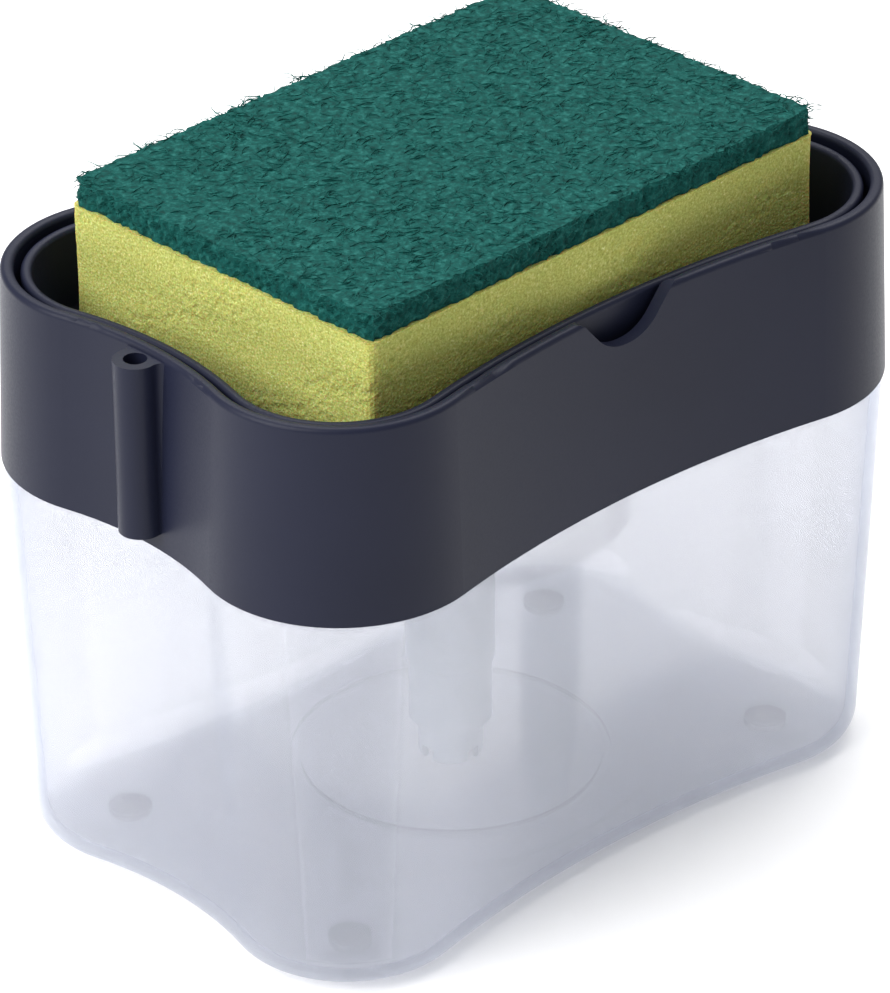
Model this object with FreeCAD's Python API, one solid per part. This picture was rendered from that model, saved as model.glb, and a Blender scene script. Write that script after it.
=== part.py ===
"""Sink caddy: a waisted clear soap reservoir, a dark collar with a soap pump in it,
and a sponge tray that rides on the pump head, so that pressing the sponge brings up soap.

Millimetres. +Z is up, +X runs along the long side, and the origin is at the middle of the
footprint on the surface that the feet stand on.
"""
import FreeCAD
import Part

import math
import os

# Outline of the body, measured on the collar's rim
body_length = 134.0
body_width = 90.8
corner_radius = 22.0
side_waist = 4.5
end_waist = 3.2

# Levels
foot_stand = 0.8
joint_height = 70.0
rim_height = 104.0

# One overrun for cuts, and the clearances that pieces share
overrun = 1.0
glue_gap = 0.1
press_gap = 0.03
running_gap = 0.06

# Reservoir
reservoir_wall = 1.8
reservoir_floor = 2.0
reservoir_taper = 2.95
reservoir_bottom_round = 4.0
reservoir_inner_round = 2.4
reservoir_rim_round = 0.5
joint_step = 0.35
neck_rim_gap = 0.3
neck_side_gap = 0.45
floor_ring_radius = 27.0
floor_ring_width = 1.6
floor_ring_height = 1.0

# Feet
foot_radius = 3.5
foot_recess = 0.6
foot_round = 0.4
foot_place_x = 48.0
foot_place_y = 27.0

# Collar
collar_wall = 2.2
collar_flare = 1.2
collar_rim_round = 0.9
deck_thickness = 2.0
deck_rise = 5.0
deck_round = 1.2

# Finger notches in the collar's rim, one in the middle of each long side
notch_width = 20.0
notch_floor_width = 8.0
notch_depth = 7.0
notch_floor_round = 8.0
notch_shoulder_round = 3.0
notch_lead = 0.02

# Rail sockets, one upright boss in the middle of each end
boss_radius = 3.6
boss_stand_out = 2.3
boss_root_round = 1.5
boss_root_sink = 0.8
boss_bore_radius = 1.9
boss_bore_depth = 20.0
boss_drop = 0.8
boss_tail_gap = 3.0

# Pump well in the deck, with the neck that the pump is clamped to
well_inner_radius = 17.0
well_wall = 1.6
well_floor = 1.6
well_depth = 22.4
well_round = 1.2
neck_outer_radius = 10.5
neck_height = 3.4
neck_bead = 0.7
neck_bead_height = 1.0
neck_bead_drop = 0.8
neck_bore_gap = 0.4

# Pump cylinder
cylinder_outer_radius = 7.5
cylinder_bore_radius = 6.0
cylinder_step = 0.5
cylinder_step_height = 22.0
cylinder_flange_radius = 10.9
cylinder_flange = 1.4
gasket_thickness = 1.0
valve_chamber_radius = 3.6
inlet_radius = 1.8
seat_apex_height = 9.0
nipple_radius = 4.2
cylinder_tail_height = 11.0
nipple_end_height = 5.0

# Intake tube on the cylinder's tail
intake_radius = 5.45
intake_floor_gap = 0.8
intake_notch_width = 2.4
intake_notch_height = 2.6
intake_end_round = 0.9

# Valve balls
inlet_ball_radius = 2.8
inlet_ball_lift = 1.5
outlet_ball_radius = 2.6
outlet_ball_lift = 1.0
seat_gap = 0.02
lift_gap = 0.3

# Ball retainer above the inlet valve
retainer_thickness = 1.4
retainer_hole_radius = 1.8
retainer_slot_width = 1.6
retainer_slot_count = 3

# Clamp ring that snaps over the neck
clamp_wall = 2.2
clamp_gap = 0.2
clamp_top = 2.0
clamp_lip = 1.1
clamp_foot_gap = 0.3
clamp_rib_count = 24
clamp_rib = 0.5

# Guide bush, stem and piston
guide_length = 7.4
guide_flange = 1.6
stem_radius = 4.0
stem_bore_radius = 2.2
stem_end_gap = 1.0
piston_height = 7.7
piston_stop_gap = 0.3
piston_lip_height = 1.6
piston_lip_depth = 0.5
pump_stroke = 8.0

# Return spring
spring_wire = 0.9
spring_turns = 8
spring_radius = 4.4
spring_end_gap = 0.05

# Pump head under the tray
head_radius = 8.0
head_flange_radius = 11.0
head_flange = 3.0
head_length = 14.5
stem_socket_depth = 8.5
outlet_chamber_radius = 3.2
nozzle_radius = 3.2
nozzle_bore_radius = 1.5
nozzle_rise = 2.6
head_round = 0.6

# Sponge tray
tray_gap = 1.0
tray_wall = 1.8
tray_floor = 2.0
tray_rim_drop = 1.0
tray_draft = 0.6
tray_rim_round = 0.8
tray_bottom_round = 2.5
tray_inner_round = 1.6
tray_socket_depth = 5.0
tray_socket_wall = 1.8
tray_socket_gap = 0.2
nozzle_gap = 0.2
press_clearance = 1.0
stud_radius = 1.4
stud_height = 1.0
stud_pitch = 11.0
stud_columns = 9
stud_rows = 5

# Sponge
sponge_side_gap = 0.6
sponge_end_gap = 7.2
foam_height = 23.8
pad_height = 5.6
sponge_corner_round = 1.5

# Shares of the outline: how far in the swept rims reach before flat plates take over
plate_share = 0.25

# Worked-out levels and offsets
corner_x = body_length / 2 - corner_radius
corner_y = body_width / 2 - corner_radius
side_waist_y = body_width / 2 - side_waist
end_waist_x = body_length / 2 - end_waist
plate_offset = -plate_share * body_width / 2
floor_top = foot_stand + reservoir_floor
deck_bottom = joint_height + deck_rise
deck_top = deck_bottom + deck_thickness
tray_bottom = deck_top + pump_stroke + press_clearance
tray_floor_top = tray_bottom + tray_floor
sponge_bottom = tray_floor_top + stud_height
tray_inner_offset = -collar_wall - tray_gap - tray_draft - tray_wall
sponge_length = 2 * (end_waist_x + tray_inner_offset - sponge_end_gap)
sponge_width = 2 * (side_waist_y + tray_inner_offset - sponge_side_gap)
tray_rim_height = rim_height - tray_rim_drop
well_floor_top = deck_top - well_depth
well_floor_bottom = well_floor_top - well_floor
neck_top = well_floor_top + neck_height
flange_bottom = neck_top + gasket_thickness
flange_top = flange_bottom + cylinder_flange
clamp_top_height = flange_top + clamp_top
guide_bottom = flange_top - guide_length
piston_top = guide_bottom - piston_stop_gap
piston_bottom = piston_top - piston_height
head_bottom = tray_bottom - head_length
stem_top = head_bottom + stem_socket_depth
stem_bottom = piston_bottom + stem_end_gap
inlet_ball_height = seat_apex_height + (inlet_ball_radius + seat_gap) * math.sqrt(2)
spring_seat_height = inlet_ball_height + inlet_ball_radius + inlet_ball_lift + lift_gap
retainer_top = spring_seat_height + retainer_thickness
outlet_ball_height = stem_top + math.sqrt(outlet_ball_radius ** 2 - stem_bore_radius ** 2) + seat_gap
outlet_chamber_top = outlet_ball_height + outlet_ball_radius + outlet_ball_lift + lift_gap
neck_bore_radius = cylinder_outer_radius + neck_bore_gap


def vec(x, y, z):
    return FreeCAD.Vector(x, y, z)


def waist_radius(along, waist_depth):
    """Radius of the hollow arc that is tangent to both corner arcs of a side."""
    return (along ** 2 + waist_depth ** 2 - 2 * corner_radius * waist_depth) / (2 * waist_depth)


side_radius = waist_radius(corner_x, side_waist)
end_radius = waist_radius(corner_y, end_waist)


def outline_arcs():
    """The eight arcs of the outline, counter-clockwise, each (centre x, centre y, radius,
    first angle, sweep, way). Way is 1 where a larger offset makes the arc larger, else -1."""
    side_centre_y = side_waist_y + side_radius
    end_centre_x = end_waist_x + end_radius
    side_half = math.atan2(corner_x, side_centre_y - corner_y)
    end_half = math.atan2(corner_y, end_centre_x - corner_x)
    corner_sweep = math.pi / 2 + side_half + end_half
    arcs = []
    for turn in (0, 1):
        flip = -1 if turn else 1
        base = turn * math.pi
        arcs.append((flip * end_centre_x, 0, end_radius, math.pi + base + end_half, -2 * end_half, -1))
        arcs.append((flip * corner_x, flip * corner_y, corner_radius, base - end_half, corner_sweep, 1))
        arcs.append((0, flip * side_centre_y, side_radius,
                     base - math.pi / 2 + side_half, -2 * side_half, -1))
        arcs.append((-flip * corner_x, flip * corner_y, corner_radius,
                     base + math.pi / 2 - side_half, corner_sweep, 1))
    return arcs


def rounded_wire(points, place):
    """A closed wire through (u, z, round) points, with each corner rounded by its own radius.
    Place turns (u, z) into a point in space."""
    count = len(points)
    trims = []
    for i, (u, z, radius) in enumerate(points):
        before = points[i - 1]
        after = points[(i + 1) % count]
        to_before = (before[0] - u, before[1] - z)
        to_after = (after[0] - u, after[1] - z)
        long_before = math.hypot(*to_before)
        long_after = math.hypot(*to_after)
        way_before = (to_before[0] / long_before, to_before[1] / long_before)
        way_after = (to_after[0] / long_after, to_after[1] / long_after)
        if radius <= 0:
            trims.append(((u, z), None, (u, z)))
            continue
        dot = way_before[0] * way_after[0] + way_before[1] * way_after[1]
        half = math.acos(max(-1, min(1, dot))) / 2
        back = radius / math.tan(half)
        middle = (way_before[0] + way_after[0], way_before[1] + way_after[1])
        size = math.hypot(*middle)
        reach = radius / math.sin(half) - radius
        start = (u + way_before[0] * back, z + way_before[1] * back)
        end = (u + way_after[0] * back, z + way_after[1] * back)
        top = (u + middle[0] / size * reach, z + middle[1] / size * reach)
        trims.append((start, top, end))
    edges = []
    for i, (start, top, end) in enumerate(trims):
        if top is not None:
            edges.append(Part.Arc(place(*start), place(*top), place(*end)).toShape())
        following = trims[(i + 1) % count][0]
        if math.hypot(following[0] - end[0], following[1] - end[1]) > Part.Precision.confusion():
            edges.append(Part.LineSegment(place(*end), place(*following)).toShape())
    return Part.Wire(edges)


def turned(points):
    """A solid of revolution about the pump's axis, from a (radius, height, round) profile."""
    face = Part.Face(rounded_wire(points, lambda u, z: vec(u, 0, z)))
    return face.revolve(vec(0, 0, 0), vec(0, 0, 1), math.degrees(2 * math.pi))


def swept(points):
    """A rim that follows the body's outline, from an (offset, height, round) profile. On each
    arc of the outline the profile turns about that arc's own centre."""
    pieces = []
    for centre_x, centre_y, radius, first, sweep, way in outline_arcs():
        def place(offset, z):
            reach = radius + way * offset
            return vec(centre_x + reach * math.cos(first), centre_y + reach * math.sin(first), z)
        face = Part.Face(rounded_wire(points, place))
        axis = vec(0, 0, 1 if sweep > 0 else -1)
        pieces.append(face.revolve(vec(centre_x, centre_y, 0), axis, math.degrees(abs(sweep))))
    return pieces[0].multiFuse(pieces[1:])


def plate(offset, bottom, top):
    """A flat plate with the body's outline moved out by offset."""
    edges = []
    for centre_x, centre_y, radius, first, sweep, way in outline_arcs():
        reach = radius + way * offset
        ends = [first, first + sweep / 2, first + sweep]
        spots = [vec(centre_x + reach * math.cos(a), centre_y + reach * math.sin(a), bottom) for a in ends]
        edges.append(Part.Arc(*spots).toShape())
    return Part.Face(Part.Wire(edges)).extrude(vec(0, 0, top - bottom))


def upright(radius, bottom, top, x=0, y=0):
    return Part.makeCylinder(radius, top - bottom, vec(x, y, bottom))


def whole(shape):
    """One clean solid, or a compound of solids, without leftover seams."""
    clean = shape.removeSplitter()
    if len(clean.Solids) == 1:
        return clean.Solids[0]
    return Part.makeCompound(clean.Solids)


def foot_places():
    return [(sx * foot_place_x, sy * foot_place_y) for sx in (-1, 1) for sy in (-1, 1)]


def reservoir_outer(z):
    """Offset of the reservoir's outer face at a height."""
    top_offset = collar_flare - joint_step
    return top_offset - reservoir_taper * (joint_height - z) / (joint_height - foot_stand)


def reservoir():
    rim = reservoir_outer(joint_height)
    neck = collar_flare - collar_wall - neck_side_gap
    neck_height_top = deck_bottom - neck_rim_gap
    ledge = joint_height - reservoir_wall
    wall = swept([
        (reservoir_outer(foot_stand), foot_stand, reservoir_bottom_round),
        (rim, joint_height, reservoir_rim_round),
        (neck, joint_height, 0),
        (neck, neck_height_top, reservoir_rim_round),
        (neck - reservoir_wall, neck_height_top, reservoir_rim_round),
        (neck - reservoir_wall, ledge, 0),
        (reservoir_outer(ledge) - reservoir_wall, ledge, 0),
        (reservoir_outer(floor_top) - reservoir_wall, floor_top, reservoir_inner_round),
        (plate_offset, floor_top, 0),
        (plate_offset, foot_stand, 0),
    ])
    ring = upright(floor_ring_radius, floor_top, floor_top + floor_ring_height).cut(
        upright(floor_ring_radius - floor_ring_width, floor_top, floor_top + floor_ring_height))
    body = wall.multiFuse([plate(plate_offset, foot_stand, floor_top), ring])
    recesses = [upright(foot_radius + glue_gap, foot_stand - overrun, foot_stand + foot_recess, x, y)
                for x, y in foot_places()]
    return whole(body.cut(recesses))


def base_feet():
    pad = turned([
        (0, 0, 0),
        (foot_radius, 0, foot_round),
        (foot_radius, foot_stand + foot_recess, 0),
        (0, foot_stand + foot_recess, 0),
    ])
    pads = []
    for x, y in foot_places():
        copy = pad.copy()
        copy.translate(vec(x, y, 0))
        pads.append(copy)
    return Part.makeCompound(pads)


def collar_outer(z):
    """Offset of the collar's outer face at a height."""
    return collar_flare * (rim_height - z) / (rim_height - joint_height)


def collar_skirt():
    """Outer wall, which stands on the reservoir's shoulder, and the edge of the deck."""
    return swept([
        (collar_flare, joint_height, 0),
        (0, rim_height, collar_rim_round),
        (-collar_wall, rim_height, collar_rim_round),
        (collar_outer(deck_top) - collar_wall, deck_top, deck_round),
        (plate_offset, deck_top, 0),
        (plate_offset, deck_bottom, 0),
        (collar_outer(deck_bottom) - collar_wall, deck_bottom, 0),
        (collar_flare - collar_wall, joint_height, 0),
    ])


def pump_well():
    """Cup in the middle of the deck, with the neck and its snap bead on the cup's floor."""
    outer = well_inner_radius + well_wall
    bead_top = neck_top - neck_bead_drop
    bead_bottom = bead_top - neck_bead_height
    return turned([
        (neck_bore_radius, well_floor_bottom, 0),
        (outer, well_floor_bottom, well_round),
        (outer, deck_top, 0),
        (well_inner_radius, deck_top, 0),
        (well_inner_radius, well_floor_top, well_round),
        (neck_outer_radius, well_floor_top, 0),
        (neck_outer_radius, bead_bottom, 0),
        (neck_outer_radius + neck_bead, bead_bottom, 0),
        (neck_outer_radius, bead_top, 0),
        (neck_outer_radius, neck_top, 0),
        (neck_bore_radius, neck_top, 0),
    ])


def notch_cut():
    """A bar through both long sides that leaves a rounded finger notch in each rim."""
    top = rim_height + notch_lead
    low = rim_height - notch_depth
    half = notch_width / 2 + notch_shoulder_round
    profile = [
        (-half, top + overrun, 0),
        (-half, top, 0),
        (-notch_width / 2, top, notch_shoulder_round),
        (-notch_floor_width / 2, low, notch_floor_round),
        (notch_floor_width / 2, low, notch_floor_round),
        (notch_width / 2, top, notch_shoulder_round),
        (half, top, 0),
        (half, top + overrun, 0),
    ]
    face = Part.Face(rounded_wire(profile, lambda u, z: vec(u, -body_width, z)))
    return face.extrude(vec(0, 2 * body_width, 0))


def rail_boss(side):
    """Upright round boss on an end wall, filleted into the wall. Side is -1 or 1."""
    root_y = math.sqrt((boss_radius + boss_root_round) ** 2 - (boss_stand_out - boss_root_round) ** 2)
    lean = math.atan2(root_y, boss_root_round - boss_stand_out)
    touch = (boss_stand_out + boss_radius * math.cos(lean), boss_radius * math.sin(lean))
    root = (boss_root_round, root_y)
    bend = math.pi + lean / 2
    sag = (root[0] + boss_root_round * math.cos(bend), root[1] + boss_root_round * math.sin(bend))
    bottom = joint_height + boss_tail_gap
    top = rim_height - boss_drop

    def place(u, v):
        return vec(side * (end_waist_x + u), v, bottom)

    edges = [
        Part.LineSegment(place(-boss_root_sink, -root_y), place(0, -root_y)).toShape(),
        Part.Arc(place(0, -root_y), place(sag[0], -sag[1]), place(touch[0], -touch[1])).toShape(),
        Part.Arc(place(touch[0], -touch[1]), place(boss_stand_out + boss_radius, 0),
                 place(touch[0], touch[1])).toShape(),
        Part.Arc(place(touch[0], touch[1]), place(*sag), place(0, root_y)).toShape(),
        Part.LineSegment(place(0, root_y), place(-boss_root_sink, root_y)).toShape(),
        Part.LineSegment(place(-boss_root_sink, root_y), place(-boss_root_sink, -root_y)).toShape(),
    ]
    return Part.Face(Part.Wire(edges)).extrude(vec(0, 0, top - bottom))


def rail_bore(side):
    top = rim_height - boss_drop
    return upright(boss_bore_radius, top - boss_bore_depth, top + overrun,
                   side * (end_waist_x + boss_stand_out))


def collar():
    deck = plate(plate_offset, deck_bottom, deck_top).cut(
        upright(well_inner_radius, deck_bottom - overrun, deck_top + overrun))
    sides = (-1, 1)
    body = collar_skirt().multiFuse([deck, pump_well()] + [rail_boss(s) for s in sides])
    return whole(body.cut([notch_cut()] + [rail_bore(s) for s in sides]))


def pump_cylinder():
    seat_top = seat_apex_height + valve_chamber_radius
    seat_low = seat_apex_height + inlet_radius
    slim = cylinder_outer_radius - cylinder_step
    return whole(turned([
        (inlet_radius, nipple_end_height, 0),
        (nipple_radius, nipple_end_height, 0),
        (nipple_radius, cylinder_tail_height, 0),
        (slim, cylinder_tail_height, 0),
        (slim, cylinder_step_height, 0),
        (cylinder_outer_radius, cylinder_step_height + cylinder_step, 0),
        (cylinder_outer_radius, flange_bottom, 0),
        (cylinder_flange_radius, flange_bottom, 0),
        (cylinder_flange_radius, flange_top, 0),
        (cylinder_bore_radius, flange_top, 0),
        (cylinder_bore_radius, spring_seat_height, 0),
        (valve_chamber_radius, spring_seat_height, 0),
        (valve_chamber_radius, seat_top, 0),
        (inlet_radius, seat_low, 0),
    ]))


def intake_tube():
    bore = nipple_radius + press_gap
    bottom = floor_top + intake_floor_gap
    tube = turned([
        (bore, bottom, 0),
        (intake_radius, bottom, intake_end_round),
        (intake_radius, cylinder_tail_height, 0),
        (bore, cylinder_tail_height, 0),
    ])
    slot = Part.makeBox(2 * (intake_radius + overrun), intake_notch_width, intake_notch_height + overrun,
                        vec(-intake_radius - overrun, -intake_notch_width / 2, bottom - overrun))
    cross = slot.copy()
    cross.rotate(vec(0, 0, 0), vec(0, 0, 1), math.degrees(math.pi / 2))
    return whole(tube.cut([slot, cross]))


def ball_retainer():
    outer = cylinder_bore_radius - press_gap
    disc = turned([
        (retainer_hole_radius, spring_seat_height, 0),
        (outer, spring_seat_height, 0),
        (outer, retainer_top, 0),
        (retainer_hole_radius, retainer_top, 0),
    ])
    reach = valve_chamber_radius
    slots = []
    for i in range(retainer_slot_count):
        slot = Part.makeBox(reach, retainer_slot_width, retainer_thickness + 2 * overrun,
                            vec(0, -retainer_slot_width / 2, spring_seat_height - overrun))
        slot.rotate(vec(0, 0, 0), vec(0, 0, 1), math.degrees(2 * math.pi * i / retainer_slot_count))
        slots.append(slot)
    return whole(disc.cut(slots))


def inlet_ball():
    return Part.makeSphere(inlet_ball_radius, vec(0, 0, inlet_ball_height))


def outlet_ball():
    return Part.makeSphere(outlet_ball_radius, vec(0, 0, outlet_ball_height))


def coil_path(radius, bottom, top, turns):
    """A coil as arcs that meet with one tangent, two to each quarter turn, and points along it."""
    quarters = 4 * turns
    slope = (top - bottom) / (2 * math.pi * turns * radius)
    spots = []
    headings = []
    for i in range(quarters + 1):
        angle = i * math.pi / 2
        spots.append(vec(radius * math.cos(angle), radius * math.sin(angle),
                         bottom + (top - bottom) * i / quarters))
        headings.append(vec(-math.sin(angle), math.cos(angle), slope).normalize())
    edges = []
    points = []
    for i in range(quarters):
        start, end = spots[i], spots[i + 1]
        leave, arrive = headings[i], headings[i + 1]
        chord = end - start
        both = chord.dot(leave + arrive)
        spread = 2 * (1 - leave.dot(arrive))
        reach = (math.sqrt(both ** 2 + spread * chord.dot(chord)) - both) / spread
        meet = (start + end + (leave - arrive) * reach) * 0.5
        for first, last, corner in ((start, meet, start + leave * reach), (meet, end, end - arrive * reach)):
            middle = (first + last) * 0.5
            half = (last - first).Length / 2
            lean = math.acos(half / reach)
            crown = middle + (corner - middle) * (math.tan(lean / 2) / math.tan(lean))
            edges.append(Part.Arc(first, crown, last).toShape())
            points += [first, crown]
    return Part.Wire(edges), points


def least_coil_gap(points, turns):
    """Least gap between neighbouring turns, measured on points half a turn or more apart."""
    apart = len(points) // (2 * turns)
    return min((points[j] - points[i]).Length
               for i in range(len(points)) for j in range(i + apart, len(points))) - spring_wire


def pump_spring():
    bottom = retainer_top + spring_wire / 2 + spring_end_gap
    top = piston_bottom - spring_wire / 2 - spring_end_gap
    path, points = coil_path(spring_radius, bottom, top, spring_turns)
    print("least gap of the spring to itself", round(least_coil_gap(points, spring_turns), 2))
    first = path.Edges[0]
    ring = Part.Wire(Part.makeCircle(spring_wire / 2, points[0], first.tangentAt(first.FirstParameter)))
    return path.makePipeShell([ring], True, False)


def flange_gasket():
    return turned([
        (neck_bore_radius, neck_top, 0),
        (neck_outer_radius, neck_top, 0),
        (neck_outer_radius, flange_bottom, 0),
        (neck_bore_radius, flange_bottom, 0),
    ])


def clamp_ring():
    """Ring cap that snaps under the neck's bead and holds the pump's flange down."""
    inner = max(neck_outer_radius + neck_bead, cylinder_flange_radius) + clamp_gap
    outer = inner + clamp_wall
    bottom = well_floor_top + clamp_foot_gap
    lip = neck_outer_radius + clamp_gap
    mouth = cylinder_bore_radius + guide_flange_width() + clamp_gap
    ring = turned([
        (lip, bottom, 0),
        (outer, bottom, 0),
        (outer, clamp_top_height, head_round),
        (mouth, clamp_top_height, 0),
        (mouth, flange_top, 0),
        (inner, flange_top, 0),
        (inner, bottom + clamp_lip, 0),
        (lip, bottom + clamp_lip, 0),
    ])
    ribs = []
    for i in range(clamp_rib_count):
        angle = 2 * math.pi * i / clamp_rib_count
        ribs.append(upright(clamp_rib, bottom, flange_top, outer * math.cos(angle), outer * math.sin(angle)))
    return whole(ring.multiFuse(ribs))


def guide_flange_width():
    """How far the guide bush's flange reaches out over the cylinder's mouth."""
    return (cylinder_outer_radius - cylinder_bore_radius) / 2


def guide_bush():
    bore = stem_radius + running_gap
    body = cylinder_bore_radius - press_gap
    flange = cylinder_bore_radius + guide_flange_width()
    return whole(turned([
        (bore, guide_bottom, 0),
        (body, guide_bottom, 0),
        (body, flange_top, 0),
        (flange, flange_top, 0),
        (flange, flange_top + guide_flange, 0),
        (bore, flange_top + guide_flange, 0),
    ]))


def pump_stem():
    return turned([
        (stem_bore_radius, stem_bottom, 0),
        (stem_radius, stem_bottom, 0),
        (stem_radius, stem_top, 0),
        (stem_bore_radius, stem_top, 0),
    ])


def piston():
    outer = cylinder_bore_radius - running_gap
    waist = outer - piston_lip_depth
    return whole(turned([
        (stem_radius, piston_bottom, 0),
        (outer, piston_bottom, 0),
        (outer, piston_bottom + piston_lip_height, 0),
        (waist, piston_bottom + piston_lip_height + piston_lip_depth, 0),
        (waist, piston_top - piston_lip_height - piston_lip_depth, 0),
        (outer, piston_top - piston_lip_height, 0),
        (outer, piston_top, 0),
        (stem_radius, piston_top, 0),
    ]))


def pump_head():
    """Hub on the stem, with the outlet valve's chamber and the nozzle that feeds the sponge."""
    nozzle_top = tray_bottom + nozzle_rise
    return whole(turned([
        (stem_radius, head_bottom, 0),
        (head_radius, head_bottom, head_round),
        (head_radius, tray_bottom - head_flange, 0),
        (head_flange_radius, tray_bottom - head_flange, head_round),
        (head_flange_radius, tray_bottom, 0),
        (nozzle_radius, tray_bottom, 0),
        (nozzle_radius, nozzle_top, head_round),
        (nozzle_bore_radius, nozzle_top, 0),
        (nozzle_bore_radius, outlet_chamber_top, 0),
        (outlet_chamber_radius, outlet_chamber_top, 0),
        (outlet_chamber_radius, stem_top, 0),
        (stem_radius, stem_top, 0),
    ]))


def tray_studs():
    """Low round studs that hold the sponge off the tray's floor, clear of the nozzle."""
    studs = []
    for i in range(stud_columns):
        for j in range(stud_rows):
            x = (i - (stud_columns - 1) / 2) * stud_pitch
            y = (j - (stud_rows - 1) / 2) * stud_pitch
            if math.hypot(x, y) > nozzle_radius + nozzle_gap + stud_radius:
                studs.append(upright(stud_radius, tray_floor_top, sponge_bottom, x, y))
    return studs


def sponge_tray():
    top = -collar_wall - tray_gap
    low = top - tray_draft
    wall = swept([
        (low, tray_bottom, tray_bottom_round),
        (top, tray_rim_height, tray_rim_round),
        (top - tray_wall, tray_rim_height, tray_rim_round),
        (low - tray_wall, tray_floor_top, tray_inner_round),
        (plate_offset, tray_floor_top, 0),
        (plate_offset, tray_bottom, 0),
    ])
    bore = head_flange_radius + tray_socket_gap
    socket = turned([
        (bore, tray_bottom - tray_socket_depth, 0),
        (bore + tray_socket_wall, tray_bottom - tray_socket_depth, head_round),
        (bore + tray_socket_wall, tray_bottom, 0),
        (bore, tray_bottom, 0),
    ])
    body = wall.multiFuse([plate(plate_offset, tray_bottom, tray_floor_top), socket] + tray_studs())
    hole = upright(nozzle_radius + nozzle_gap, tray_bottom - overrun, tray_floor_top + overrun)
    return whole(body.cut(hole))


def sponge_block(bottom, top):
    block = Part.makeBox(sponge_length, sponge_width, top - bottom,
                         vec(-sponge_length / 2, -sponge_width / 2, bottom))
    corners = [e for e in block.Edges if e.BoundBox.ZLength > (top - bottom) / 2]
    return block.makeFillet(sponge_corner_round, corners)


def sponge_foam():
    return sponge_block(sponge_bottom, sponge_bottom + foam_height)


def scouring_pad():
    foam_top = sponge_bottom + foam_height
    return sponge_block(foam_top, foam_top + pad_height)


NODES = [
    reservoir, base_feet, collar, pump_cylinder, intake_tube, ball_retainer, inlet_ball,
    pump_spring, flange_gasket, clamp_ring, guide_bush, pump_stem, piston, pump_head,
    outlet_ball, sponge_tray, sponge_foam, scouring_pad,
]

os.makedirs("parts", exist_ok=True)
for make in NODES:
    shape = make()
    name = make.__name__
    box = shape.optimalBoundingBox(False)
    print(name, len(shape.Solids), shape.isValid(), round(shape.Volume, 2),
          [round(v, 2) for v in (box.XMin, box.XMax, box.YMin, box.YMax, box.ZMin, box.ZMax)])
    shape.exportStep(os.path.join("parts", name + ".step"))
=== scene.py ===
"""Sink caddy with a soap pump: a milky reservoir, a charcoal collar and sponge tray, and a
scouring sponge that is pressed to bring up soap. Metres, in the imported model's frame."""

import math
import random

import bmesh
import bpy
from mathutils import Matrix, Vector, kdtree


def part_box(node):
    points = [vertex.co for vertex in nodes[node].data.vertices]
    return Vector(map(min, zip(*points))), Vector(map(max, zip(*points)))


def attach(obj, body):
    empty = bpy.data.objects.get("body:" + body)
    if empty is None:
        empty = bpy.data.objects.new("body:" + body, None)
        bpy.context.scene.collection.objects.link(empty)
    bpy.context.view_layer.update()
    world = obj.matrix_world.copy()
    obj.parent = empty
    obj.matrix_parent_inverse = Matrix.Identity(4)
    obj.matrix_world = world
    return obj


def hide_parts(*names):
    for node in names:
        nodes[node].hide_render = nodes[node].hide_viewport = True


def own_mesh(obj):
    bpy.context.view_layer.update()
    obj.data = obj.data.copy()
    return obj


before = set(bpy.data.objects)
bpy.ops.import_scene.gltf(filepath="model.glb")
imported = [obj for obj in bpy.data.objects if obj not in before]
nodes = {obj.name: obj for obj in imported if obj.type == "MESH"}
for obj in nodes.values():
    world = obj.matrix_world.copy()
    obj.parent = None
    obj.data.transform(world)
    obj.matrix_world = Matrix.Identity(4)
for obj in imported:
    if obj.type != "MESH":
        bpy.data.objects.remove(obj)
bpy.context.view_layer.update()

# Reservoir: one injection-moulded box of natural polypropylene, which is milky and lets the
# pump show through. The mould's satin polish leaves a faint orange peel on it.
milk_dark = (0.93, 0.938, 0.955)
milk_pale = (0.96, 0.965, 0.975)
haze_white = (0.985, 0.98, 0.985, 1)
clear_white = (0.975, 0.977, 0.985, 1)
wall_blue = (0.36, 0.43, 0.6, 1)
wall_density = 46
clear_share = 0.74
haze_share = 0.19


def new_material(name, **sockets):
    """A material whose principled shader has the given socket values."""
    made = bpy.data.materials.new(name)
    made.use_nodes = True
    shader = made.node_tree.nodes["Principled BSDF"]
    for socket, value in sockets.items():
        shader.inputs[socket.replace("_", " ")].default_value = value
    return made, made.node_tree, shader


def add_noise(tree, scale, detail, roughness=0.55):
    """A noise texture in the object's own metres."""
    place = tree.nodes.new("ShaderNodeTexCoord")
    noise = tree.nodes.new("ShaderNodeTexNoise")
    noise.inputs["Scale"].default_value = scale
    noise.inputs["Detail"].default_value = detail
    noise.inputs["Roughness"].default_value = roughness
    tree.links.new(place.outputs["Object"], noise.inputs["Vector"])
    return noise


def add_ramp(tree, source, stops, target):
    """A colour ramp between a source and a target socket, from (place, colour) stops."""
    ramp = tree.nodes.new("ShaderNodeValToRGB")
    while len(ramp.color_ramp.elements) < len(stops):
        ramp.color_ramp.elements.new(0.5)
    for element, (place, colour) in zip(ramp.color_ramp.elements, stops):
        element.position = place
        element.color = (*colour, 1)
    tree.links.new(source, ramp.inputs["Fac"])
    tree.links.new(ramp.outputs["Color"], target)


def add_bump(tree, shader, height, strength, distance):
    """A bump from a height socket into a shader's normal."""
    bump = tree.nodes.new("ShaderNodeBump")
    bump.inputs["Strength"].default_value = strength
    bump.inputs["Distance"].default_value = distance
    tree.links.new(height, bump.inputs["Height"])
    tree.links.new(bump.outputs["Normal"], shader.inputs["Normal"])


def dress(node, material):
    """Gives a CAD node one material."""
    shown = nodes[node]
    shown.data.materials.clear()
    shown.data.materials.append(material)


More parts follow.
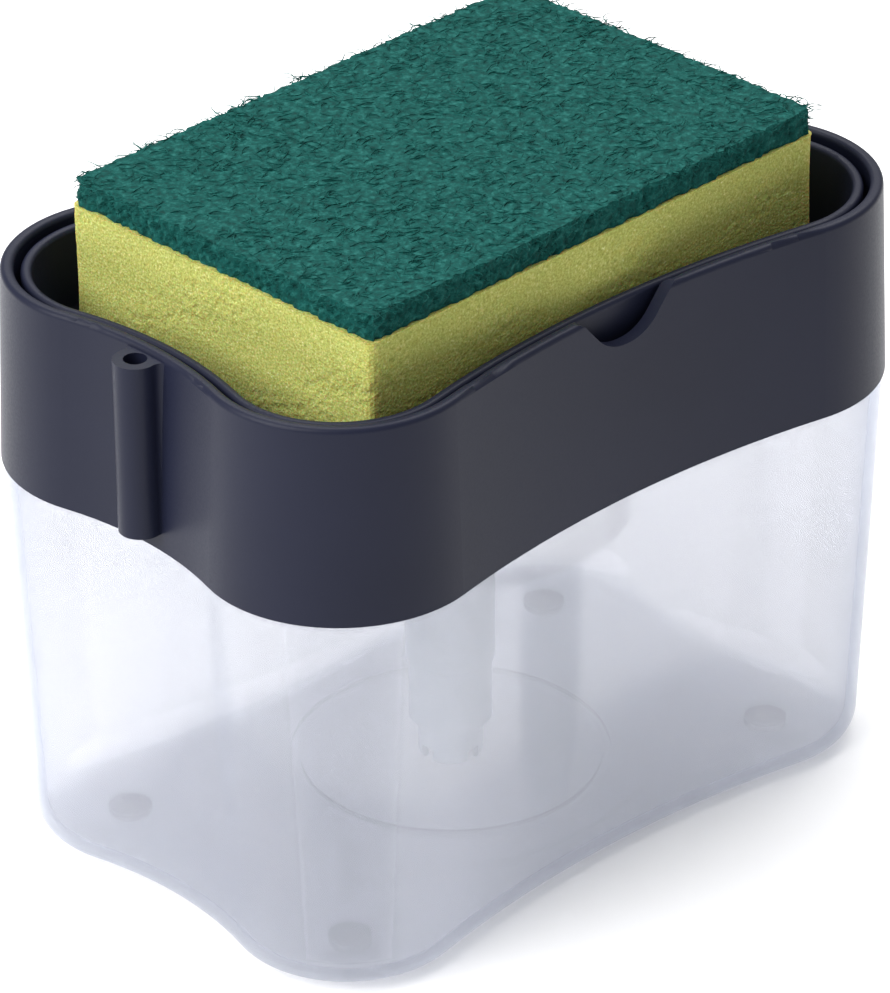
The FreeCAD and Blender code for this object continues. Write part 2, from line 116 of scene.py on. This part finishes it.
milky, tree, shader = new_material("milky_polypropylene", IOR=1.49, Roughness=0.2,
                                   Transmission_Weight=1.0)
cloud = add_noise(tree, scale=55, detail=3)
milk_stops = [(0.3, milk_dark), (0.7, milk_pale)]
add_ramp(tree, cloud.outputs["Fac"], milk_stops, shader.inputs["Base Color"])
peel = add_noise(tree, scale=900, detail=2)
add_bump(tree, shader, peel.outputs["Fac"], strength=0.04, distance=0.0002)
haze = tree.nodes.new("ShaderNodeBsdfTranslucent")
haze.inputs["Color"].default_value = haze_white
clear = tree.nodes.new("ShaderNodeBsdfTransparent")
clear.inputs["Color"].default_value = clear_white
thin = tree.nodes.new("ShaderNodeMixShader")
thin.inputs["Fac"].default_value = clear_share
tree.links.new(shader.outputs["BSDF"], thin.inputs[1])
tree.links.new(clear.outputs["BSDF"], thin.inputs[2])
mixed = tree.nodes.new("ShaderNodeMixShader")
mixed.inputs["Fac"].default_value = haze_share
tree.links.new(thin.outputs["Shader"], mixed.inputs[1])
tree.links.new(haze.outputs["BSDF"], mixed.inputs[2])
depth = tree.nodes.new("ShaderNodeVolumeAbsorption")
depth.inputs["Color"].default_value = wall_blue
depth.inputs["Density"].default_value = wall_density
output = tree.nodes["Material Output"]
tree.links.new(mixed.outputs["Shader"], output.inputs["Surface"])
tree.links.new(depth.outputs["Volume"], output.inputs["Volume"])
dress("reservoir", milky)

# Feet: four soft pads of half-clear rubber, glued into shallow recesses under the reservoir's
# floor so that the caddy does not slide when it is pressed.
foot_dark = (0.86, 0.87, 0.89)
foot_pale = (0.93, 0.94, 0.95)
foot_rubber, tree, shader = new_material("foot_rubber", Roughness=0.6, Transmission_Weight=0.6,
                                         Alpha=0.35)
dust = add_noise(tree, scale=700, detail=4)
foot_stops = [(0.35, foot_dark), (0.7, foot_pale)]
add_ramp(tree, dust.outputs["Fac"], foot_stops, shader.inputs["Base Color"])
add_bump(tree, shader, dust.outputs["Fac"], strength=0.2, distance=0.0001)
dress("base_feet", foot_rubber)

# Collar: one moulding of charcoal ABS with a fine satin texture. It sits on the reservoir's rim
# and carries the pump in a well in its deck.
charcoal_dark = (0.009, 0.0108, 0.024)
charcoal_pale = (0.0112, 0.0132, 0.029)


def grey(level):
    """A colour with the same level in all three channels."""
    return (level, level, level)


charcoal, tree, shader = new_material("charcoal_plastic", IOR=1.5, Specular_IOR_Level=0.16)
broad = add_noise(tree, scale=28, detail=3)
charcoal_stops = [(0.3, charcoal_dark), (0.75, charcoal_pale)]
add_ramp(tree, broad.outputs["Fac"], charcoal_stops, shader.inputs["Base Color"])
grain = add_noise(tree, scale=2600, detail=3)
satin_stops = [(0.3, grey(0.36)), (0.7, grey(0.46))]
add_ramp(tree, grain.outputs["Fac"], satin_stops, shader.inputs["Roughness"])
add_bump(tree, shader, grain.outputs["Fac"], strength=0.12, distance=0.00006)
dress("collar", charcoal)

# Pump: small mouldings of natural polyethylene, bluish white and half clear. The cylinder hangs
# by its flange under the clamp ring, with the intake tube on its tail, and the stem, piston and
# head slide in it as one.
pump_dark = (0.36, 0.41, 0.5)
pump_pale = (0.44, 0.49, 0.58)
pump_white, tree, shader = new_material("pump_polyethylene", IOR=1.5, Roughness=0.3,
                                        Transmission_Weight=0.25)
cloud = add_noise(tree, scale=160, detail=3)
pump_stops = [(0.3, pump_dark), (0.7, pump_pale)]
add_ramp(tree, cloud.outputs["Fac"], pump_stops, shader.inputs["Base Color"])
peel = add_noise(tree, scale=1500, detail=2)
add_bump(tree, shader, peel.outputs["Fac"], strength=0.08, distance=0.0001)
for name in ("pump_cylinder", "intake_tube", "ball_retainer", "clamp_ring", "guide_bush",
             "pump_stem", "piston", "pump_head"):
    dress(name, pump_white)

# Gasket: a flat ring punched from black nitrile sheet. It lies under the pump's flange and seals
# the joint there.
nitrile_dark = (0.02, 0.02, 0.022)
nitrile_pale = (0.05, 0.05, 0.053)
gasket_rubber, tree, shader = new_material("gasket_rubber", Roughness=0.65)
dust = add_noise(tree, scale=900, detail=4)
nitrile_stops = [(0.3, nitrile_dark), (0.7, nitrile_pale)]
add_ramp(tree, dust.outputs["Fac"], nitrile_stops, shader.inputs["Base Color"])
dress("flange_gasket", gasket_rubber)

# Valve balls: two ground balls of stainless steel. They lie loose on their seats, one at the
# pump's inlet and one in its head.
steel_dark = (0.55, 0.55, 0.56)
steel_pale = (0.68, 0.68, 0.69)
stainless, tree, shader = new_material("stainless", Metallic=1.0)
mottle = add_noise(tree, scale=1800, detail=3)
steel_stops = [(0.3, steel_dark), (0.7, steel_pale)]
add_ramp(tree, mottle.outputs["Fac"], steel_stops, shader.inputs["Base Color"])
polish_stops = [(0.3, grey(0.16)), (0.7, grey(0.3))]
add_ramp(tree, mottle.outputs["Fac"], polish_stops, shader.inputs["Roughness"])
for name in ("inlet_ball", "outlet_ball"):
    dress(name, stainless)

# Return spring: a coil of drawn stainless wire in the pump's cylinder. It stands on the ball
# retainer and shortens with the stroke.
spring_low, spring_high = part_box("pump_spring")
spring_long = spring_high.z - spring_low.z
wire_radius = 0.00045
wire_sides = 8
coil_radius = spring_high.x - wire_radius
coil_turns = 8
steps_per_turn = 28
coil_steps = steps_per_turn * coil_turns


def add_walls(mesh, rings):
    """Faces between rings of vertices that follow each other, and a cap on both ends."""
    span = len(rings[0])
    for lower, upper in zip(rings, rings[1:]):
        for i in range(span):
            k = (i + 1) % span
            mesh.faces.new((lower[i], lower[k], upper[k], upper[i]))
    mesh.faces.new(list(reversed(rings[0])))
    mesh.faces.new(rings[-1])


def make_piece(name, mesh, material):
    """An object in the scene from a finished mesh, with one material."""
    bmesh.ops.recalc_face_normals(mesh, faces=mesh.faces)
    data = bpy.data.meshes.new(name)
    mesh.to_mesh(data)
    mesh.free()
    data.materials.append(material)
    piece = bpy.data.objects.new(name, data)
    bpy.context.scene.collection.objects.link(piece)
    return piece


spring_mesh = bmesh.new()
wire_rings = []
for i in range(coil_steps + 1):
    angle = 2 * math.pi * coil_turns * i / coil_steps
    out = Vector((math.cos(angle), math.sin(angle), 0))
    height = spring_low.z + wire_radius + (spring_long - 2 * wire_radius) * i / coil_steps
    wire_ring = []
    for k in range(wire_sides):
        tip = 2 * math.pi * k / wire_sides
        spot = out * (coil_radius + wire_radius * math.cos(tip))
        spot.z = height + wire_radius * math.sin(tip)
        wire_ring.append(spring_mesh.verts.new(spot))
    wire_rings.append(wire_ring)
add_walls(spring_mesh, wire_rings)
# The wire is smooth along its length and flat on its two cut ends.
for face in spring_mesh.faces:
    face.smooth = len(face.verts) < wire_sides
spring = make_piece("return_spring", spring_mesh, stainless)
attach(spring, "upper")
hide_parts("pump_spring")
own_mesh(spring)

# Sponge tray: a moulding of the collar's charcoal ABS, with low studs that the sponge lies on.
# A socket under its floor sits on the pump head, so it moves down with the pump.
dress("sponge_tray", charcoal)

# Foam: a block of yellow open-cell polyurethane, cut square, with cells of mixed sizes opened by
# the knife on its four sides. It lies slightly turned in the tray, and its sides are not quite flat.
rng = random.Random(11)
foam_low, foam_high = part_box("sponge_foam")
side_trim = 0.0008
half_x = (foam_high.x - foam_low.x) / 2 - side_trim
half_y = (foam_high.y - foam_low.y) / 2 - side_trim
foam_step = 0.00042
foam_rows = round((foam_high.z - foam_low.z) / foam_step)
foam_round = 0.0015
corner_steps = 3
yaw = Matrix.Rotation(math.radians(1.7), 4, "Z")
wave_depth = 0.00012
wave_x = 210
wave_y = 170
wave_z = 260
cell_count = 14000
cell_smallest = 0.0002
cell_largest = 0.0008
cell_depth = 0.32
foam_shade = (0.25, 0.26, 0.05)
foam_yellow = (0.42, 0.44, 0.115)
foam_bright = (0.56, 0.55, 0.2)
foam_painted_glint = (0.9, 0.88, 0.62)


def outline_points(inset, spacing):
    """Points round the sponge's outline with rounded corners, and the way out at each."""
    flat_x = half_x - inset - foam_round
    flat_y = half_y - inset - foam_round
    sides = ((flat_x, -flat_y, 0, 2 * flat_y),
             (flat_x, flat_y, 90, 2 * flat_x),
             (-flat_x, flat_y, 180, 2 * flat_y),
             (-flat_x, -flat_y, 270, 2 * flat_x))
    points = []
    for x, y, turn, run in sides:
        way = math.radians(turn)
        out = Vector((math.cos(way), math.sin(way), 0))
        along = Vector((-out.y, out.x, 0))
        start = Vector((x, y, 0)) + out * foam_round
        steps = max(2, round(run / spacing))
        for i in range(steps):
            points.append((start + along * (run * i / steps), out))
        end = Vector((x, y, 0)) + along * run
        for i in range(corner_steps):
            angle = way + math.radians(90) * i / corner_steps
            bend = Vector((math.cos(angle), math.sin(angle), 0))
            points.append((end + bend * foam_round, bend))
    return points


foam_ring = outline_points(0, foam_step)
cells = kdtree.KDTree(cell_count)
cell_sizes = []
# The cube of the draw makes small cells far more common than large ones.
for i in range(cell_count):
    spot, _ = foam_ring[rng.randrange(len(foam_ring))]
    cells.insert(Vector((spot.x, spot.y, rng.uniform(foam_low.z, foam_high.z))), i)
    cell_sizes.append(cell_smallest + (cell_largest - cell_smallest) * rng.random() ** 3)
cells.balance()
foam_mesh = bmesh.new()
foam_levels = []
for j in range(foam_rows + 1):
    z = foam_low.z + (foam_high.z - foam_low.z) * j / foam_rows
    level = []
    for spot, out in foam_ring:
        point = Vector((spot.x, spot.y, z))
        wave = math.sin(spot.x * wave_x) * math.cos(spot.y * wave_y + z * wave_z)
        sink = wave_depth * (1 + wave)
        for _, index, gap in cells.find_range(point, cell_largest):
            size = cell_sizes[index]
            if gap < size:
                sink = max(sink, cell_depth * math.sqrt(size * size - gap * gap))
        if 0 < j < foam_rows:
            point -= out * sink
        level.append(foam_mesh.verts.new(yaw @ point))
    foam_levels.append(level)
add_walls(foam_mesh, foam_levels)
yellow, tree, shader = new_material("yellow_foam", Roughness=0.9, Specular_IOR_Level=0.2,
                                    Subsurface_Weight=0.5, Subsurface_Scale=0.003)
# The speck ramp gives the foam its yellow tones, and its top stop paints small white specks of light
# on the cells: painted glints.
speck = add_noise(tree, scale=2300, detail=4, roughness=0.7)
foam_stops = [(0.3, foam_shade), (0.52, foam_yellow), (0.66, foam_bright), (0.74, foam_painted_glint)]
add_ramp(tree, speck.outputs["Fac"], foam_stops, shader.inputs["Base Color"])
place = tree.nodes.new("ShaderNodeTexCoord")
fine = tree.nodes.new("ShaderNodeTexVoronoi")
fine.inputs["Scale"].default_value = 2200
tree.links.new(place.outputs["Object"], fine.inputs["Vector"])
add_bump(tree, shader, fine.outputs["Distance"], strength=0.6, distance=0.0002)
foam = make_piece("sponge_block", foam_mesh, yellow)
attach(foam, "sponge")
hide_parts("sponge_foam")

# Scouring pad: a felt of curled nylon fibres and green resin, bonded to the foam. A matted core
# carries loose fibres that curl out of the top and fray at the cut edges.
pad_low, pad_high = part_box("scouring_pad")
pile = 0.0011
core_top = pad_high.z - pile
core_inset = 0.0003
core_step = 0.0009
core_rows = 5
core_rough = 0.0007
fibre_steps = 4
fibre_sides = 3
fibre_curl = 2.6
fibre_taper = 0.6
fibre_ceiling = pad_high.z + 0.001
top_fibres = 6000
top_root = 0.0004
edge_fibres = 2000
edge_root = 0.0008
edge_clear = 0.0005
edge_spread = 1.4
felt_shade = (0.0012, 0.03, 0.0265)
felt_green = (0.003, 0.067, 0.058)
felt_bright = (0.025, 0.15, 0.132)


def add_fibre(mesh, start, heading, lift, length, radius):
    """One curled fibre as a thin tube that tapers to its end."""
    bend = rng.uniform(-fibre_curl, fibre_curl)
    spot = start.copy()
    rings = []
    for i in range(fibre_steps + 1):
        share = i / fibre_steps
        way = Vector((math.cos(heading), math.sin(heading), lift * math.cos(share * math.pi)))
        side = Vector((-way.y, way.x, 0)).normalized()
        above = way.cross(side).normalized()
        wide = radius * (1 - fibre_taper * share)
        ring = []
        for k in range(fibre_sides):
            angle = k * 2 * math.pi / fibre_sides
            corner = spot + (side * math.cos(angle) + above * math.sin(angle)) * wide
            corner.z = min(corner.z, fibre_ceiling)
            ring.append(mesh.verts.new(yaw @ corner))
        rings.append(ring)
        spot = spot + way.normalized() * (length / fibre_steps)
        heading += bend / fibre_steps
    add_walls(mesh, rings)


pad_mesh = bmesh.new()
core_ring = outline_points(core_inset, core_step)
core_levels = []
for j in range(core_rows + 1):
    z = pad_low.z + (core_top - pad_low.z) * j / core_rows
    level = []
    for spot, out in core_ring:
        point = Vector((spot.x, spot.y, z)) - out * rng.uniform(0, core_rough)
        level.append(pad_mesh.verts.new(yaw @ point))
    core_levels.append(level)
add_walls(pad_mesh, core_levels)
for _ in range(top_fibres):
    x = rng.uniform(-half_x, half_x)
    y = rng.uniform(-half_y, half_y)
    start = Vector((x, y, core_top - rng.uniform(0, top_root)))
    heading = rng.uniform(0, 2 * math.pi)
    lift = rng.uniform(0.05, 0.34)
    length = rng.uniform(0.0016, 0.0036)
    radius = rng.uniform(0.00008, 0.00016)
    add_fibre(pad_mesh, start, heading, lift, length, radius)
fringe_mesh = bmesh.new()
for _ in range(edge_fibres):
    spot, out = core_ring[rng.randrange(len(core_ring))]
    z = rng.uniform(pad_low.z + edge_clear, core_top)
    start = Vector((spot.x, spot.y, z)) - out * edge_root
    heading = math.atan2(out.y, out.x) + rng.uniform(-edge_spread, edge_spread)
    lift = rng.uniform(-0.4, 0.6)
    length = rng.uniform(0.001, 0.002)
    radius = rng.uniform(0.00006, 0.00012)
    add_fibre(fringe_mesh, start, heading, lift, length, radius)
felt, tree, shader = new_material("green_felt", Roughness=0.8, Specular_IOR_Level=0.12)
matting = add_noise(tree, scale=800, detail=5, roughness=0.7)
felt_stops = [(0.3, felt_shade), (0.52, felt_green), (0.75, felt_bright)]
add_ramp(tree, matting.outputs["Fac"], felt_stops, shader.inputs["Base Color"])
add_bump(tree, shader, matting.outputs["Fac"], strength=0.8, distance=0.0005)
pad = make_piece("scour_felt", pad_mesh, felt)
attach(pad, "sponge")
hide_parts("scouring_pad")
fringe = make_piece("scour_fringe", fringe_mesh, felt)
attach(fringe, "sponge")

# Floor and light: a flat white floor under an even white surround. A large soft light stands on
# the left, and one a little weaker hangs high up behind.
floor_size = 6
paper_white = (0.97, 0.97, 0.975, 1)
surround_strength = 0.45
lit_spot = Vector((0, 0, 0.06))
lights = (("key", (-1.1, 0.25, 1.0), 1.2, 29),
          ("fill", (0.6, 0.4, 1.4), 1.5, 26))
bpy.ops.mesh.primitive_plane_add(size=floor_size)
floor = bpy.context.object
floor.name = "floor"
paper, _, _ = new_material("paper", Base_Color=paper_white, Roughness=0.9)
floor.data.materials.append(paper)
world = bpy.data.worlds.new("studio")
bpy.context.scene.world = world
world.use_nodes = True
sky = world.node_tree
soft = sky.nodes["Background"]
soft.inputs["Strength"].default_value = surround_strength
white = sky.nodes.new("ShaderNodeBackground")
for shade in (soft, white):
    shade.inputs["Color"].default_value = (1, 1, 1, 1)
seen = sky.nodes.new("ShaderNodeLightPath")
pick = sky.nodes.new("ShaderNodeMixShader")
sky.links.new(seen.outputs["Is Camera Ray"], pick.inputs["Fac"])
sky.links.new(soft.outputs["Background"], pick.inputs[1])
sky.links.new(white.outputs["Background"], pick.inputs[2])
sky.links.new(pick.outputs["Shader"], sky.nodes["World Output"].inputs["Surface"])
for name, spot, size, power in lights:
    lamp = bpy.data.lights.new(name, "AREA")
    lamp.size = size
    lamp.energy = power
    holder = bpy.data.objects.new(name, lamp)
    holder.location = spot
    holder.rotation_euler = (lit_spot - Vector(spot)).to_track_quat("-Z", "Y").to_euler()
    bpy.context.scene.collection.objects.link(holder)

# Camera: a long lens about a metre away, looking down on a corner of the caddy. Its angles, lens,
# distance and aim were fitted to the photo.
azimuth = math.radians(-43.19)
elevation = math.radians(29.76)
roll = math.radians(-0.46)
distance = 1.026
middle = Vector((0, 0, 0.0464))
shift_left = 0.0007
shift_up = 0.00525
right = Vector((math.cos(azimuth), math.sin(azimuth), 0))
back = Vector((math.sin(azimuth) * math.cos(elevation), -math.cos(azimuth) * math.cos(elevation),
               math.sin(elevation)))
up = back.cross(right)
right_rolled = right * math.cos(roll) + up * math.sin(roll)
up_rolled = up * math.cos(roll) - right * math.sin(roll)
target = middle - right_rolled * shift_left + up_rolled * shift_up
lens = bpy.data.cameras.new("camera")
lens.lens = 225.8
lens.sensor_width = 36
lens.clip_start = 0.01
camera = bpy.data.objects.new("camera", lens)
facing = Matrix((right_rolled, up_rolled, back)).transposed().to_4x4()
camera.matrix_world = Matrix.Translation(target + back * distance) @ facing
bpy.context.scene.collection.objects.link(camera)
bpy.context.scene.camera = camera
bpy.context.scene.view_settings.view_transform = "Standard"
